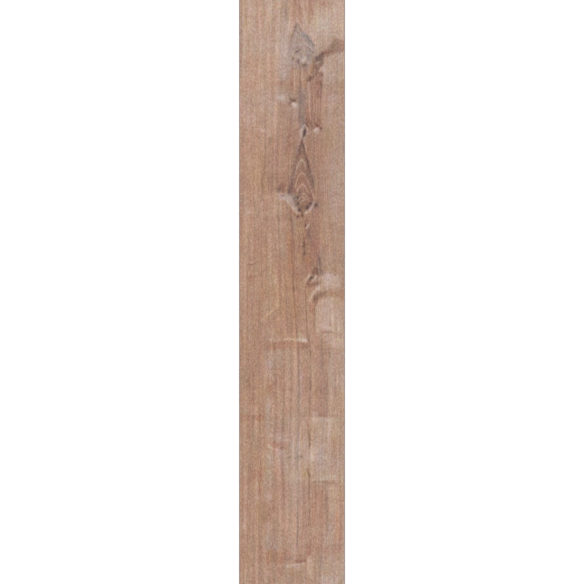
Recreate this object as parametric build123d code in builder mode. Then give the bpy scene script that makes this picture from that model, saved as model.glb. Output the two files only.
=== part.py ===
"""Glue-down vinyl floor plank, as one pressed sheet.

The plank lies flat with its printed face up. X runs across it, Y along it and Z up,
and the origin is at the middle of its flat back.
"""

import os

from build123d import *

# Driving dimensions, in millimetres
LENGTH = 1220.0
WIDTH = 220.0
THICKNESS = 2.5
BEVEL_WIDTH = 1.2  # how far the edge bevel reaches in over the face
BEVEL_DROP = 0.5  # how far the bevel falls from the face to the square edge

# One sheet, die-cut square. A shallow bevel runs round the face and is mitred at the corners,
# so that planks laid edge to edge meet in a fine V-groove.
with BuildPart() as plank:
    with BuildSketch(Plane.XY):
        Rectangle(WIDTH, LENGTH)
    extrude(amount=THICKNESS)
    printed_face = plank.faces().sort_by(Axis.Z)[-1]
    chamfer(printed_face.edges(), length=BEVEL_WIDTH, length2=BEVEL_DROP, reference=printed_face)

plank.part.label = "plank"
os.makedirs("parts", exist_ok=True)
export_step(plank.part, "parts/plank.step")
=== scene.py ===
"""Looks of a vinyl floor plank: an embossed wood print, painted bevels, a filled edge and a plain back.

Places on the print are in millimetres from the middle of the plank, x across it and y along it.
The far end, at the top of the picture, has the largest y.
"""

import math

import bpy
import numpy as np
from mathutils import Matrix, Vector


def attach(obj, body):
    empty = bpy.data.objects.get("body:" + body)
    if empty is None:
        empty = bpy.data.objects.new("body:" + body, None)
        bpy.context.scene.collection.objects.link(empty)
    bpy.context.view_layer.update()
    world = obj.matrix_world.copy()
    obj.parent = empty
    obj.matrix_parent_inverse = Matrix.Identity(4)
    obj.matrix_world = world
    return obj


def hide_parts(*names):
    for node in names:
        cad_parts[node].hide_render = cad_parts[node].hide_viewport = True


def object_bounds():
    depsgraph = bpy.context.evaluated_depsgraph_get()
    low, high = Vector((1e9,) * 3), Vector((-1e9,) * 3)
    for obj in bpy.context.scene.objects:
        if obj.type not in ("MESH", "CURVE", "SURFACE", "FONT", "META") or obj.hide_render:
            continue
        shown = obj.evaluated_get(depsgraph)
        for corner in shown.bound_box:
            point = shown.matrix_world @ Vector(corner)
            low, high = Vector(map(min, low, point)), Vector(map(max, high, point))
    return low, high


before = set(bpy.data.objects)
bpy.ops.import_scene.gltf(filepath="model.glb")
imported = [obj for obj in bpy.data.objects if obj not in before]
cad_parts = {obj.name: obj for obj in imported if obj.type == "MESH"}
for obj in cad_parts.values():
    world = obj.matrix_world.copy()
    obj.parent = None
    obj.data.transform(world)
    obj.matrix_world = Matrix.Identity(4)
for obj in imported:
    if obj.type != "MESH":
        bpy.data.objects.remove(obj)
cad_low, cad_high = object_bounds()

# The plank, in millimetres
MM = 0.001
WIDTH, LENGTH, THICKNESS = ((high - low) / MM for low, high in zip(cad_low, cad_high))
BEVEL_WIDTH = 1.2
BEVEL_DROP = 0.5
EMBOSS_DEPTH = 0.11  # how deep the darkest grain is pressed into the face
EMBOSS_AT_ZERO = 0.45  # share of that depth at tone 0, before it is eased
EMBOSS_PER_TONE = 0.4  # how much more of it each darker tone takes
EMBOSS_MARGIN = 4.0  # the relief dies out this near the bevel
SHARP_ANGLE = math.radians(14)  # edges that turn more than this stay crisp

# The grid of the printed face: its squares, and what share of them reaches what share of half the face
COLUMNS = 148
ROWS = 615
COLUMN_PLACES = [(0.0, -1.0), (0.3, -0.2), (0.8, 0.6), (1.0, 1.0)]  # closest right of the middle
ROW_PLACES = [(0.0, -1.0), (0.4, -0.05), (0.97, 0.92), (1.0, 1.0)]  # closest in the far half

# The picture
SEEN_LENGTH = 1216.0  # how much of the plank the square picture shows
LENS = 85.0
SENSOR = 36.0

# The print's tones, from -3 in the heart of a knot to 1.5 in a bleached streak, as sRGB colours
TONE_RANGE = (-3.0, 1.5)
TONES = {
    -3.0: (90, 66, 57),
    -2.0: (119, 89, 76),
    -1.0: (149, 115, 98),
    0.0: (178, 143, 122),
    1.0: (203, 173, 156),
    1.5: (215, 188, 173),
}

# Tints that multiply a tone: from grey to red over the range of warmth, and from olive to pink over pink's
WARMTH_RANGE = (-2.0, 2.0)
GREY_TINT = (0.79, 1.0, 1.265)
RED_TINT = (1.235, 0.99, 0.77)
PINK_RANGE = (-1.0, 1.0)
OLIVE_TINT = (0.97, 1.07, 0.94)
PINK_TINT = (1.03, 0.93, 1.06)

# Inks, as a change of tone, of warmth and of pink at full strength
UMBER = (-1.0, -0.5, 0.0)
SEPIA = (-0.8, 0.0, 0.1)
SLATE = (-0.6, -1.0, 0.1)
ASH = (0.0, -1.0, 0.0)
RUSSET = (-0.4, 0.6, 0.5)
ROSE = (-0.3, -0.1, 0.7)
HONEY = (0.0, 1.0, 0.0)
OCHRE = (-0.15, 0.5, -0.6)
MOSS = (-0.3, -0.4, -0.7)
PEACH = (0.55, 0.4, 0.0)
LILAC = (0.6, -0.4, 0.4)
STRAW = (0.8, -0.1, -0.45)
CREAM = (1.0, -0.35, 0.0)


def mix(*parts):
    """Ink made of several, each given with its strength."""
    return tuple(sum(ink[n] * strength for ink, strength in parts) for n in range(3))


def smooth(t):
    """Eases from 0 to 1 as t does, flat at both ends."""
    t = np.clip(t, 0.0, 1.0)
    return t * t * (3 - 2 * t)


def value_noise(across, along, cell, seed):
    """Smooth random field between -1 and 1, with cells of that size across and along."""
    a = (across - across.min()) / cell[0]
    b = (along - along.min()) / cell[1]
    i = a.astype(int)
    j = b.astype(int)
    lattice = np.random.default_rng(seed).uniform(-1, 1, (j.max() + 2, i.max() + 2))
    p = smooth(a - i)
    q = smooth(b - j)
    near = lattice[j, i] * (1 - p) + lattice[j, i + 1] * p
    far = lattice[j + 1, i] * (1 - p) + lattice[j + 1, i + 1] * p
    return near * (1 - q) + far * q


class WoodPrint:
    """Tone, warmth and pink of the face on a grid of points, and the coordinate that its grain follows."""

    # How far the grain sways to the right, by place along the plank, and where across it that sets in
    SWAY = [(600, 5), (490, 1), (410, 0), (340, -3), (262, -5), (180, -3), (110, 0), (40, 1.5), (-40, 4.5),
            (-110, 8), (-190, 10), (-260, 8.5), (-340, 6.5), (-410, 8), (-490, 8.5), (-600, 6)]
    SWAY_FROM = -55
    SWAY_FADE = 40

    # Knots that push the grain aside: place, half size across and along, and push
    KNOTS = [
        ((55, 484), (22, 40), 5.0),
        ((2, 398), (16, 30), 4.0),
        ((26, 333), (14, 34), 4.0),
        ((52, 344), (14, 26), 3.0),
        ((20, 215), (36, 90), 9.0),
        ((39, 28), (18, 34), 4.0),
    ]

    def __init__(self, xs, ys):
        self.x, self.y = np.meshgrid(xs, ys)
        places, sways = zip(*reversed(self.SWAY))
        sway = np.interp(self.y, places, sways) * smooth((self.x - self.SWAY_FROM) / self.SWAY_FADE)
        self.grain = self.x - sway + 0.6 * value_noise(self.x, self.y, (40, 90), seed=1)
        for (x, y), (half_across, half_along), push in self.KNOTS:
            side = (self.x - x) / half_across
            along = (self.y - y) / half_along
            self.grain -= push * side * np.exp(-side**2 - along**2)
        self.tone = np.zeros_like(self.x)
        self.warmth = np.zeros_like(self.x)
        self.pink = np.zeros_like(self.x)
        # What breaks the strokes up: fibres, long gaps, frayed edges and ragged ends
        self.fibre = 1 + 0.2 * value_noise(self.grain, self.y, (2.4, 22), seed=2)
        self.gaps = 1 + 0.55 * value_noise(self.grain, self.y, (4, 70), seed=8)
        self.fray = value_noise(self.x, self.y, (3.2, 5), seed=10)
        self.ragged = self.y + 4 * value_noise(self.grain, self.y, (2.4, 24), seed=11)

    def lay(self, ink, cover):
        """Adds an ink where cover is above 0, broken up by the fibre."""
        tone, warmth, pink = ink
        self.tone += tone * cover * self.fibre
        self.warmth += warmth * cover
        self.pink += pink * cover

    def many(self, stroke, ink, *marks):
        """Lays several strokes of one kind in one ink, each from its own values."""
        for mark in marks:
            stroke(ink, *mark)

    def spot(self, ink, strength, place, half, turn=0.0):
        """Soft, frayed oval with those half sizes, turned anticlockwise by some degrees."""
        dx = self.x - place[0]
        dy = self.y - place[1]
        c = math.cos(math.radians(turn))
        s = math.sin(math.radians(turn))
        across = (c * dx + s * dy) / half[0]
        along = (c * dy - s * dx) / half[1]
        self.lay(ink, strength * np.exp(-(across**2 + along**2) * (1 + 0.4 * self.fray)))

    def patch(self, ink, strength, x_range, y_range, soft):
        """Rectangle with ragged ends, whose edges fade over the soft distances across and along."""
        def ramp(v, ends, fade):
            return smooth((v - ends[0]) / fade + 0.5) * smooth((ends[1] - v) / fade + 0.5)
        across = ramp(self.x + self.fray, x_range, soft[0])
        along = ramp(self.ragged, y_range, soft[1])
        self.lay(ink, strength * across * along)

    def streak(self, ink, strength, half_width, x, y_from, y_to, fade=14.0):
        """Line that keeps to the grain, passes x halfway, comes and goes, and fades at both ends."""
        halfway = np.abs(self.y[:, 0] - (y_from + y_to) / 2).argmin()
        across = self.grain - np.interp(x, self.x[halfway], self.grain[halfway])
        ends = smooth((y_from - self.y) / fade + 0.5) * smooth((self.y - y_to) / fade + 0.5)
        self.lay(ink, strength * ends * self.gaps * np.exp(-((across / half_width) ** 2)))

    def reach(self, points):
        """Distance to the line through the points, how far along it the nearest point is, and its length."""
        nearest = np.full_like(self.x, np.inf)
        at = np.zeros_like(self.x)
        run = 0.0
        for (x0, y0), (x1, y1) in zip(points, points[1:]):
            dx, dy = x1 - x0, y1 - y0
            length = math.hypot(dx, dy)
            share = ((self.x - x0) * dx + (self.y - y0) * dy) / length**2
            share = np.clip(share, 0.0, 1.0)
            distance = np.hypot(self.x - x0 - share * dx, self.y - y0 - share * dy)
            closer = distance < nearest
            at[closer] = run + share[closer] * length
            nearest = np.minimum(nearest, distance)
            run += length
        return nearest, at, run

    def line(self, ink, strength, half_width, *points, fade=5.0):
        """Soft line through the points, which fades at both ends."""
        nearest, at, run = self.reach(points)
        fade = min(fade, run / 3)
        ends = smooth((at + 1.0) / fade) * smooth((run - at + 1.0) / fade)
        across = nearest / half_width / (1 + 0.15 * self.fray)
        self.lay(ink, strength * ends * np.exp(-(across**2)))

    def fill(self, ink, strength, soft, *corners):
        """Area inside the corners, with a frayed edge that fades over the soft distance."""
        outline = [*corners, corners[0]]
        nearest = self.reach(outline)[0]
        inside = np.zeros(self.x.shape, dtype=bool)
        for (x0, y0), (x1, y1) in zip(outline, outline[1:]):
            if y0 != y1:
                crosses = (self.y < y0) != (self.y < y1)
                inside ^= crosses & (self.x < x0 + (self.y - y0) * (x1 - x0) / (y1 - y0))
        depth = np.where(inside, nearest, -nearest) + self.fray
        self.lay(ink, strength * smooth(depth / soft + 0.5))


def paint_ground(p):
    """Broad shading of the plank, which may run on past its rim, and the chance streaks all through it."""
    p.many(p.patch, HONEY,
           (0.3, (-130, 45), (-640, 330), (40, 90)), (0.2, (-95, -55), (-420, 340), (16, 60)),
           (0.4, (-36, 36), (-100, 45), (20, 40)), (0.3, (36, 60), (60, 170), (10, 40)),
           (0.25, (38, 130), (-250, -10), (14, 50)), (0.3, (38, 130), (-560, -400), (14, 40)),
           (0.2, (-130, 130), (520, 640), (20, 30)), (0.25, (-130, -60), (320, 440), (20, 30)),
           (0.3, (52, 84), (80, 315), (14, 40)), (0.35, (-38, -10), (-480, -360), (14, 30)))
    p.many(p.patch, ASH,
           (0.25, (80, 130), (-210, -120), (14, 30)), (0.25, (58, 130), (-640, -520), (14, 30)),
           (0.3, (-32, 16), (-450, -260), (16, 50)), (0.25, (-40, 14), (-640, -515), (16, 30)),
           (0.25, (36, 130), (430, 575), (20, 40)), (0.2, (70, 130), (160, 330), (20, 50)))
    p.many(p.patch, CREAM,
           (0.55, (-130, 130), (505, 640), (60, 80)), (0.38, (-130, -36), (335, 510), (24, 90)),
           (0.3, (-40, 8), (440, 510), (24, 40)), (0.45, (64, 130), (438, 496), (16, 24)),
           (0.2, (74, 130), (150, 400), (20, 50)), (0.3, (78, 130), (-250, -110), (14, 50)),
           (0.15, (12, 84), (-250, -160), (14, 20)), (0.24, (-15, 130), (-305, -258), (30, 12)),
           (0.38, (-35, 130), (-365, -305), (30, 24)), (0.22, (-10, 60), (-365, -305), (30, 24)),
           (0.14, (-30, 75), (-520, -395), (20, 30)), (0.25, (76, 130), (-560, -400), (14, 30)))
    p.many(p.patch, SEPIA,
           (0.3, (-12, 84), (566, 640), (20, 24)), (0.1, (-62, 40), (210, 330), (40, 60)),
           (0.3, (-14, 62), (185, 365), (24, 40)), (0.25, (28, 64), (190, 330), (20, 60)),
           (0.5, (-46, -8), (203, 248), (24, 24)), (0.6, (-12, 60), (25, 190), (30, 40)),
           (0.36, (-22, 20), (-90, 30), (20, 40)), (0.18, (-130, -60), (-230, 120), (30, 90)),
           (0.25, (-64, -36), (-480, -400), (14, 20)))
    p.many(p.patch, STRAW,
           (0.3, (38, 130), (518, 590), (20, 40)), (0.45, (-25, 130), (-398, -365), (30, 12)),
           (0.45, (60, 130), (-640, -560), (14, 20)))
    p.many(p.patch, ROSE,
           (0.35, (-42, -10), (-440, -300), (14, 30)), (0.15, (-130, 130), (200, 420), (60, 50)))
    p.patch(MOSS, 0.3, (-130, -50), (-400, -240), (14, 30))
    p.patch(OCHRE, 0.3, (-70, 70), (-60, 75), (40, 40))
    near = smooth((-60 - p.y) / 100)
    beside_flame = smooth((320 - p.y) / 60) * smooth((-10 - p.x) / 20)
    streaky = np.maximum(near, beside_flame)
    p.tone += 0.1 * value_noise(p.grain, p.y, (6.5, 260), seed=3)
    p.tone += (0.22 + 0.1 * streaky) * value_noise(p.grain, p.y, (2.7, 70), seed=4)
    p.tone += 0.16 * value_noise(p.x, p.y, (9, 11), seed=5)
    p.warmth += 0.3 * value_noise(p.grain, p.y, (6, 30), seed=6)
    p.warmth += 0.2 * value_noise(p.grain, p.y, (4, 50), seed=7)
    p.pink += 0.3 * value_noise(p.grain, p.y, (7, 26), seed=9)


def paint_grain_lines(p):
    """Grain lines that run on for much of the plank, pale and dark by turns."""
    p.many(p.streak, PEACH,
           (0.4, 2.2, -101.5, 605, 390), (0.2, 2.2, -78, 605, 400), (0.45, 2.0, -67, 606, 450),
           (0.26, 3.0, -51, 606, 295), (0.35, 2.0, -60, 380, 300), (0.5, 2.6, -98, 390, -600),
           (0.45, 2.2, -73.5, -20, -612), (0.25, 2.6, -58.5, 100, -600), (0.3, 2.4, -47, 130, 10),
           (0.25, 2.6, -46, -215, -500), (0.22, 2.4, -31.5, 606, -606), (0.4, 2.4, -14, 350, -500),
           (0.6, 3.2, 6, 0, -570), (0.2, 2.4, 44, -130, -600))
    p.many(p.streak, SEPIA,
           (0.2, 2.0, -90, 530, 440), (0.32, 2.0, -72, 606, 445), (0.28, 2.2, -59.5, 606, 440),
           (0.4, 2.0, -56, 380, 230), (0.25, 2.2, -92, 20, -310), (0.26, 2.4, -80, -30, -612),
           (0.3, 2.0, -53, 160, 10), (0.26, 2.2, -38.6, 606, -606), (0.3, 2.4, -18.5, 330, -600),
           (0.22, 2.4, -1, 20, -510), (0.36, 2.2, 36, -150, -545))
    p.streak(UMBER, 0.45, 2.2, -106, 600, 445)
    p.streak(SLATE, 0.6, 2.0, 12, -90, -540)
    p.streak(LILAC, 0.3, 3.0, 16.5, -100, -545)
    p.line(SEPIA, 0.22, 2.6, (-62, 150), (-62.5, -40), (-66, -110), (-66, -300), (-68, -612))
    p.line(SEPIA, 1.25, 1.4, (27, 12), (29, -20), (30, -50), (31, -80), (34, -96), (37, -112), (39, -134))


def paint_far_end(p):
    """Pale streaks left of the upper flame, and the red wedges above it."""
    p.patch(LILAC, 0.15, (-26, -6), (435, 560), (5, 30))
    p.patch(ASH, 0.35, (-26, -4), (440, 575), (5, 30))
    p.patch(HONEY, 0.35, (-100, -30), (420, 500), (20, 30))
    p.patch(mix((SLATE, 0.25), (MOSS, 0.15)), 1.0, (-22, -8), (565, 640), (5, 20))
    p.many(p.patch, STRAW, (0.3, (-27, -8), (448, 515), (4, 14)), (0.25, (46, 76), (540, 592), (8, 14)))
    p.many(p.streak, PEACH, (0.35, 2.0, -48, 606, 560), (0.25, 3.0, -31, 580, 500),
           (0.5, 1.8, -49, 500, 445), (0.35, 2.0, -30, 515, 470), (0.35, 1.5, 30, 606, 575))
    p.many(p.streak, SEPIA, (0.7, 2.0, -96, 585, 555), (0.4, 2.2, -44, 495, 430))
    p.streak(UMBER, 0.6, 1.5, -12, 640, 565)
    p.streak(OCHRE, 0.9, 3.2, -97, 640, 543)
    p.streak(LILAC, 0.25, 2.5, -84, 606, 545)
    p.streak(RUSSET, 0.5, 1.8, -72, 600, 540)
    p.streak(ROSE, 0.6, 1.6, 44, 620, 572)
    for place in ((-33, 597), (-20, 598), (-55, 582), (-44, 570), (53, 595)):
        p.spot(OCHRE, 0.9, place, (5, 6))
    p.patch(RUSSET, 0.42, (0, 23), (562, 640), (5, 14))
    p.fill(RUSSET, 0.48, 6, (25, 640), (27, 590), (34, 570), (46, 568), (47, 590), (46, 640))
    p.many(p.line, SEPIA, (0.45, 2.4, (7, 612), (5, 590), (4, 566)),
           (0.5, 1.6, (15, 606), (17, 584), (18, 562)), (0.55, 2.4, (36, 612), (39, 595), (44, 572)))
    p.line(PEACH, 1.0, 1.5, (0, 612), (-3, 585), (-6, 555), (-9, 535))
    p.line(PEACH, 0.75, 1.8, (18, 610), (23, 585), (30, 561), (39, 543), (47, 526), (54, 508))
    p.line(LILAC, 0.5, 1.2, (40, 557), (46, 546), (54, 530))
    p.many(p.spot, LILAC, (0.6, (66, 564), (4, 3)), (0.4, (92, 588), (12, 14)))
    p.many(p.spot, RUSSET, (0.8, (63, 602), (6, 7)), (0.5, (66, 575), (2.5, 7)))
    p.spot(OCHRE, 0.9, (38, 565), (8, 5))
    p.spot(mix((PEACH, 0.45), (OCHRE, 0.6)), 1.0, (98, 553), (9, 7))


def paint_upper_flame(p):
    """Grey flame near the far end, and its specks."""
    p.fill(ASH, 0.8, 7, (10, 563), (3, 545), (-3, 522), (-8, 500), (-4, 468), (30, 460), (44, 485),
           (53, 498), (46, 514), (36, 531), (22, 546))
    p.fill(SLATE, 0.25, 6, (10, 561), (4, 545), (-2, 522), (-5, 504), (20, 498), (50, 499), (44, 514),
           (34, 531), (20, 546))
    p.fill(mix((SLATE, 0.4), (MOSS, 0.6)), 1.0, 5, (19, 541), (26, 541), (38, 528), (47, 513), (44, 511),
           (36, 520), (27, 527), (20, 534))
    p.many(p.line, SEPIA, (1.1, 3.0, (10, 562), (6, 549), (2, 539), (-1, 528)),
           (0.6, 2.2, (11, 558), (15, 550), (21, 543)), (0.9, 1.8, (30, 511), (38, 505), (46, 496)))
    p.many(p.line, UMBER, (0.5, 2.2, (0, 533), (-3, 518), (-5, 502)),
           (0.65, 1.9, (30, 534), (33, 530), (38, 524), (47, 511)),
           (1.2, 1.7, (4, 495), (7, 499), (11, 501), (15, 502), (20, 507)))
    p.line(PEACH, 1.2, 1.6, (27, 517), (35, 512), (42, 505), (49, 499))
    p.line(LILAC, 0.5, 2.0, (22, 510), (30, 504), (38, 496))
    p.line(SLATE, 1.2, 1.8, (13, 497), (18, 496), (20, 490), (24, 485))
    p.many(p.spot, SEPIA, (1.0, (17.5, 547), (2.6, 3)), (1.1, (14, 540), (2.4, 3)),
           (1.8, (2, 486), (2.8, 3.6)), (1.3, (25.5, 470.5), (6.5, 5.5)), (1.1, (22, 470), (3, 2.6)))
    p.many(p.spot, UMBER, (0.5, (7, 551), (3, 6)), (0.6, (10, 500.5), (3.2, 2)),
           (1.7, (13, 480), (2.4, 4.4)), (1.8, (27.5, 473), (3, 2.2)))
    p.many(p.spot, SLATE, (0.6, (25, 534), (6, 6.5)), (0.9, (34, 491), (4, 6), 20))
    p.many(p.spot, STRAW, (1.2, (26.5, 487), (5, 5)), (0.6, (9, 490), (4, 5)))
    p.spot(ROSE, 0.5, (14, 510), (6, 6))
    p.spot(CREAM, 0.7, (24, 480), (6, 5))
    p.spot(OCHRE, 0.8, (2, 486), (4, 4))
    p.spot(LILAC, 0.6, (35, 476), (4, 5))


def paint_branch(p):
    """Knot on the right of the upper flame, its branch, and the streaks below both."""
    p.fill(UMBER, 0.9, 7, (44, 483), (51, 491), (57, 498), (63, 498), (65, 491), (63, 482), (55, 480))
    p.fill(OCHRE, 1.0, 6, (46, 468), (38, 462), (28, 446), (29, 437), (40, 449))
    p.many(p.fill, SEPIA,
           (0.9, 6, (45, 479), (50, 484), (65, 485), (65, 478), (60, 469), (54, 463), (46, 467)),
           (0.75, 6, (58, 466), (44, 468), (35, 455), (29, 440), (38, 436), (50, 448)),
           (0.45, 5, (54, 462), (66, 458), (66, 448), (62, 432), (50, 432)),
           (1.1, 7, (59, 500), (70, 505), (78, 512), (84, 522), (89, 531), (97, 527), (112, 522), (112, 503),
            (100, 500), (87, 496), (75, 491), (64, 487)))
    p.many(p.line, UMBER, (0.65, 3.0, (49, 483), (53, 486), (58, 491), (62, 494)),
           (0.85, 2.8, (62.5, 482), (61.5, 476), (57.5, 468)))
    p.line(CREAM, 1.4, 1.4, (47, 475), (52, 477.5), (60, 481))
    p.line(PEACH, 0.7, 2.0, (34, 466), (38, 457), (41, 450))
    p.line(SEPIA, 0.5, 2.2, (57, 464), (50, 453), (43, 442))
    p.line(RUSSET, 1.2, 4.6, (60, 494), (70, 497), (80, 501), (86, 504))
    p.many(p.spot, SEPIA, (0.85, (56, 488), (4, 6), -25), (1.0, (46, 470), (4, 3.5)),
           (0.2, (82, 508), (8, 5)), (1.2, (59.5, 453), (4.5, 4.5)), (0.6, (70, 498), (8, 4), 20),
           (0.7, (28, 461), (2.4, 3)))
    p.many(p.spot, RUSSET, (0.5, (40, 462), (4, 8)), (0.9, (106, 513), (8, 10)), (0.8, (28, 459), (4, 6)))
    for place in ((61, 465), (67, 461), (65, 468), (57, 461)):
        p.spot(CREAM, 1.2, place, (2.6, 2.2))
    p.spot(MOSS, 0.4, (55, 481), (12, 12))
    p.spot(HONEY, 1.2, (46, 469), (6, 6))
    p.spot(PEACH, 0.6, (103, 512), (8, 9))
    p.spot(OCHRE, 0.7, (89, 518), (6, 12))
    p.many(p.streak, RUSSET, (0.6, 2.6, 58, 462, 425), (1.1, 2.2, 1, 472, 422))
    p.many(p.streak, PEACH, (0.9, 1.4, 5.5, 470, 415), (0.5, 1.6, 21, 470, 440))
    p.streak(OCHRE, 0.7, 2.6, 11, 468, 420)
    p.streak(SEPIA, 1.0, 1.5, 17, 474, 425)


def paint_red_field(p):
    """Grey band and red field between the two flames, and the marks on both sides of them."""
    p.fill(SLATE, 0.65, 6, (13, 424), (22, 434), (26, 415), (27, 390), (27, 365), (25, 342), (14, 340),
           (13, 365), (13, 390))
    p.many(p.spot, MOSS, (0.5, (21, 385), (6, 26)), (0.6, (21, 356), (4, 18)), (0.9, (-45, 317), (2, 9)))
    p.spot(SLATE, 0.5, (19.5, 402), (6, 18))
    p.spot(HONEY, 1.0, (26, 434), (5, 9))
    p.fill(SEPIA, 0.9, 4, (33, 439), (36, 446), (43, 450), (42, 444), (37, 438))
    p.fill(RUSSET, 0.6, 5, (30, 438), (36, 448), (44, 451), (42, 443), (36, 436))
    p.spot(UMBER, 0.25, (38.5, 444), (2.6, 2.6))
    p.line(mix((LILAC, 0.7), (PEACH, 0.8)), 1.0, 1.5, (37.5, 440), (34.5, 435), (34.5, 426), (36, 412),
           (36, 393))
    p.line(PEACH, 1.2, 1.4, (36, 398), (36.5, 378), (39, 362), (43, 351), (46, 344))
    p.many(p.patch, SEPIA, (0.2, (10, 32), (355, 440), (8, 20)), (0.25, (25, 34), (375, 445), (4, 14)),
           (0.2, (38, 63), (345, 445), (6, 16)))
    p.many(p.patch, RUSSET, (0.6, (-31, -4), (427, 438), (8, 6)), (0.3, (38, 63), (345, 445), (6, 16)),
           (0.8, (28, 37), (340, 388), (4, 16)))
    p.many(p.patch, OCHRE, (0.6, (68, 92), (295, 348), (8, 14)), (0.5, (94, 108), (420, 460), (8, 14)))
    p.patch(HONEY, 0.25, (36, 60), (395, 440), (8, 14))
    p.patch(ROSE, 0.35, (38, 63), (335, 445), (6, 16))
    p.patch(LILAC, 0.45, (62, 102), (395, 412), (10, 7))
    p.patch(PEACH, 0.4, (64, 106), (383, 392), (10, 5))
    for x, y_from, y_to in ((45, 415, 372), (51, 405, 352), (57, 405, 368)):
        p.streak(PEACH, 0.9, 1.2, x, y_from, y_to)
    for x in (42, 48, 54, 59):
        p.streak(SEPIA, 0.45, 1.2, x, 440, 352)
    p.many(p.spot, SEPIA, (0.9, (53, 414), (1.7, 7)), (0.9, (60, 404), (1.8, 5)), (0.7, (60, 430), (3, 9)),
           (0.5, (-45, 317), (1.5, 8)))
    p.streak(PEACH, 0.4, 2.4, -36, 392, 300)
    p.streak(HONEY, 0.6, 3.0, -36, 392, 300)
    p.streak(SEPIA, 0.45, 1.6, -10, 330, 285)
    p.line(CREAM, 0.8, 1.6, (-82, 337), (-70, 340), (-60, 337), (-50, 331))
    p.line(RUSSET, 0.8, 1.6, (-2, 362), (-3, 345), (-5, 330), (-8, 300))
    p.spot(CREAM, 0.4, (-48, 328), (2, 6))
    p.spot(PEACH, 0.6, (-30, 445), (4, 5))


def paint_upper_knots(p):
    """Three small knots between the two flames."""
    p.many(p.patch, ASH, (0.4, (-32, 12), (396, 418), (10, 12)), (0.35, (-12, 12), (358, 396), (8, 12)))
    p.patch(CREAM, 0.3, (-38, -14), (398, 426), (10, 10))
    p.patch(STRAW, 0.35, (1, 13), (342, 386), (6, 16))
    p.many(p.line, SEPIA, (1.3, 2.8, (-7, 403), (0, 401), (4, 400), (10, 397)),
           (1.4, 2.4, (-9, 391), (-4, 393.5), (1, 399)), (2.0, 2.0, (50, 354), (50.5, 347), (57, 345)))
    p.many(p.line, UMBER, (0.5, 2.0, (-1, 402), (4, 399), (8, 396)),
           (1.1, 2.2, (26, 352), (30, 350), (34, 343)))
    p.many(p.spot, SEPIA, (0.7, (1, 399), (6, 4)), (0.6, (26.2, 331.5), (3.0, 7.0), -14),
           (3.2, (60, 341), (2.6, 3)))
    p.many(p.spot, SLATE, (0.4, (-6, 410), (8, 6)), (0.9, (52, 334), (2.4, 2)))
    p.many(p.spot, MOSS, (0.5, (26, 332), (5, 10), -14), (0.8, (26.2, 331.5), (3.4, 8.0), -14))
    p.spot(STRAW, 0.9, (-20, 405), (10, 7))
    p.spot(CREAM, 1.1, (6, 389.5), (6.5, 2.8), -35)
    p.spot(RUSSET, 0.8, (54, 346), (5, 3))
    p.fill(STRAW, 0.85, 3, (-2, 393), (4, 395), (10, 392), (15, 388), (12, 385), (5, 385), (0, 389))
    p.fill(SEPIA, 0.7, 5, (26, 352), (31, 364), (42, 356), (50, 346), (45, 338), (35, 336))
    p.fill(ASH, 0.65, 5, (16, 318), (17, 336), (21, 346), (27, 351), (33, 346), (36, 333), (31, 318),
           (24, 316))
    p.fill(SEPIA, 2.1, 3.5, (22.5, 322.5), (25, 322), (28, 328), (29.5, 335), (28, 339.5), (25.5, 338),
           (23.5, 331))
    p.fill(CREAM, 1.25, 4, (43, 336), (49, 341), (58, 344), (59, 338), (56, 330), (48, 330))
    p.line(STRAW, 0.6, 2.4, (18, 322), (18, 334), (21, 343), (27, 348), (32, 343), (34, 334), (31, 325))
    p.line(CREAM, 0.5, 2.4, (20, 322), (18, 334), (22, 344), (28, 348), (33, 341), (33, 334), (31, 325))
    p.line(ASH, 0.3, 3.0, (10, 289), (17, 314), (26, 320), (31, 290))
    p.many(p.line, LILAC, (0.9, 2.0, (21, 326), (17, 314), (13, 302), (10, 287)),
           (0.9, 2.0, (27, 325), (26, 312), (28, 301), (31, 288)),
           (0.9, 1.8, (45, 338), (51, 341), (58, 343)))


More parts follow.
